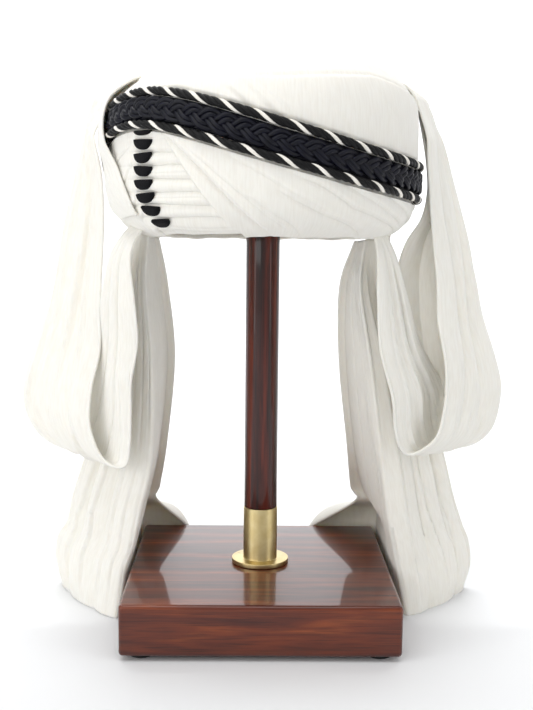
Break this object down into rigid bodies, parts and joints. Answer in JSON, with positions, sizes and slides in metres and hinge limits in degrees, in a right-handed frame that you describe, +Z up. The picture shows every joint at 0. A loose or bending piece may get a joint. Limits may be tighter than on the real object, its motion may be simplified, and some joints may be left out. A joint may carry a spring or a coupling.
{
  "type": "tied turban on a display stand",
  "caption": "Tied white cotton turban with a plaited navy band, petal tabs and hanging loops and tails, on a square hardwood display stand with a brass collar.",
  "frame": {"origin": "on the floor under the middle of the base", "axes": "+Z up, the turban faces -Y, +X to the right of someone who looks at its front"},
  "size_m": [0.3883, 0.2686, 0.4313],
  "materials": {
    "hardwood": "gloss varnish",
    "brass": "brushed",
    "feet": "matte",
    "turban_cloth": "plain cotton muslin",
    "band": "plaited satin cotton",
    "cords": "black and white twisted cotton",
    "petals": "black felt"
  },
  "bodies": {
    "root": {"base_block": "hardwood", "foot_front_left": "feet", "foot_front_right": "feet", "foot_back_left": "feet", "foot_back_right": "feet", "collar": "brass", "post": "hardwood", "head_rest": "hardwood", "wound_crown": "turban_cloth", "front_pleats": "turban_cloth", "diagonal_wrap": "turban_cloth", "side_wrap": "turban_cloth", "plait_band": "band", "upper_cord": "cords", "lower_cord": "cords", "petal_1": "petals", "petal_2": "petals", "petal_3": "petals", "petal_4": "petals", "petal_5": "petals", "petal_6": "petals", "petal_7": "petals", "petal_8": "petals", "left_loop": "turban_cloth", "right_loop": "turban_cloth", "left_tail": "turban_cloth", "right_tail": "turban_cloth"}
  },
  "joints": []
}
